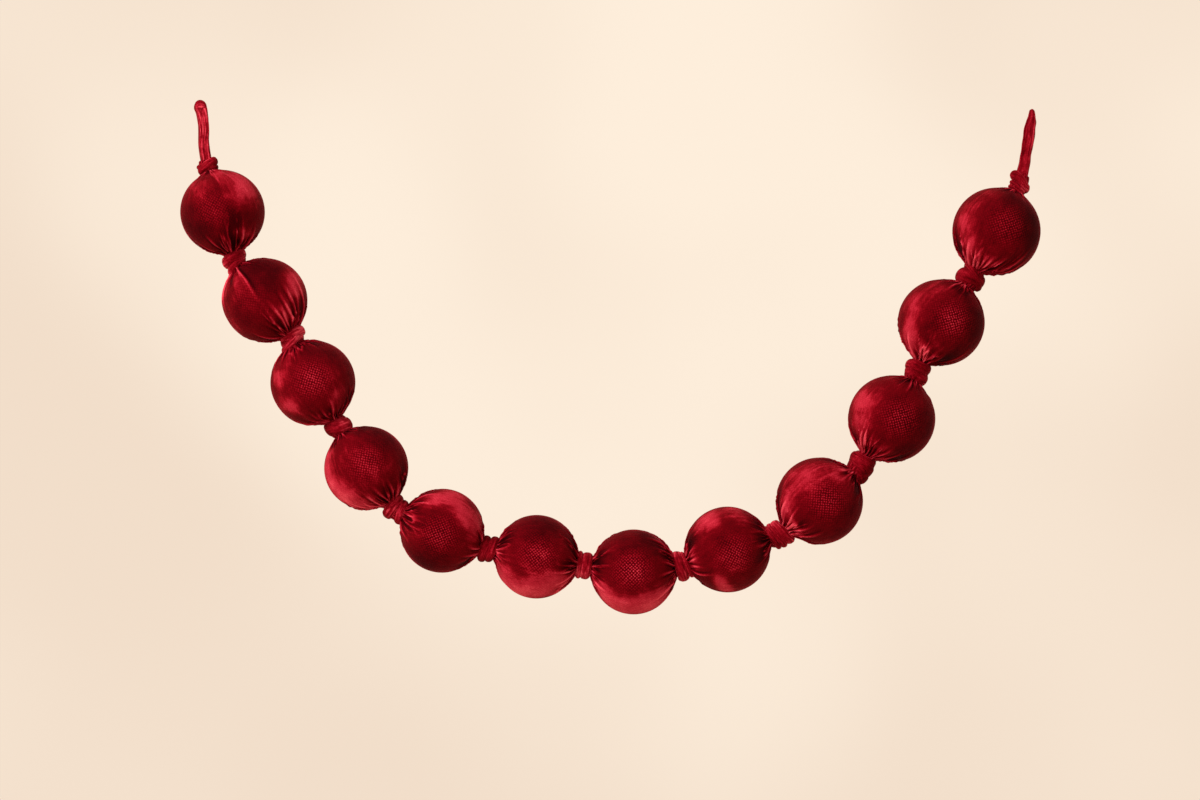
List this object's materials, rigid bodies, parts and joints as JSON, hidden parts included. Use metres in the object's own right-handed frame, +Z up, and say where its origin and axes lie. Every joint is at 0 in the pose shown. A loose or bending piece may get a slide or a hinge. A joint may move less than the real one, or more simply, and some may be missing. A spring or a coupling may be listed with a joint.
{
  "type": "velvet ball garland",
  "caption": "Hanging swag of padded velvet balls in a gathered velvet tube, knotted between the balls and at both ends, with a folded velvet hanging loop at each end.",
  "frame": {"origin": "where a hook or nail bears inside the top of the left hanging loop, at the mount left_loop", "axes": "+X along the span from the left loop to the right one, +Y away from the viewer through the thickness, +Z up"},
  "size_m": [0.7732, 0.0782, 0.4627],
  "materials": {
    "velvet_ball": "short pile velvet in deep crimson, drawn smooth over the balls with brushed lighter patches",
    "velvet_knot": "the same velvet, wrapped and tied tight",
    "velvet_loop": "the same velvet as a narrow folded strip, brighter along its fold"
  },
  "bodies": {
    "root": {"ball_01": "velvet_ball", "ball_02": "velvet_ball", "ball_03": "velvet_ball", "ball_04": "velvet_ball", "ball_05": "velvet_ball", "ball_06": "velvet_ball", "ball_07": "velvet_ball", "ball_08": "velvet_ball", "ball_09": "velvet_ball", "ball_10": "velvet_ball", "ball_11": "velvet_ball", "ball_12": "velvet_ball", "knot_01": "velvet_knot", "knot_02": "velvet_knot", "knot_03": "velvet_knot", "knot_04": "velvet_knot", "knot_05": "velvet_knot", "knot_06": "velvet_knot", "knot_07": "velvet_knot", "knot_08": "velvet_knot", "knot_09": "velvet_knot", "knot_10": "velvet_knot", "knot_11": "velvet_knot", "knot_left": "velvet_knot", "knot_right": "velvet_knot", "loop_left": "velvet_loop", "loop_right": "velvet_loop"}
  },
  "joints": []
}
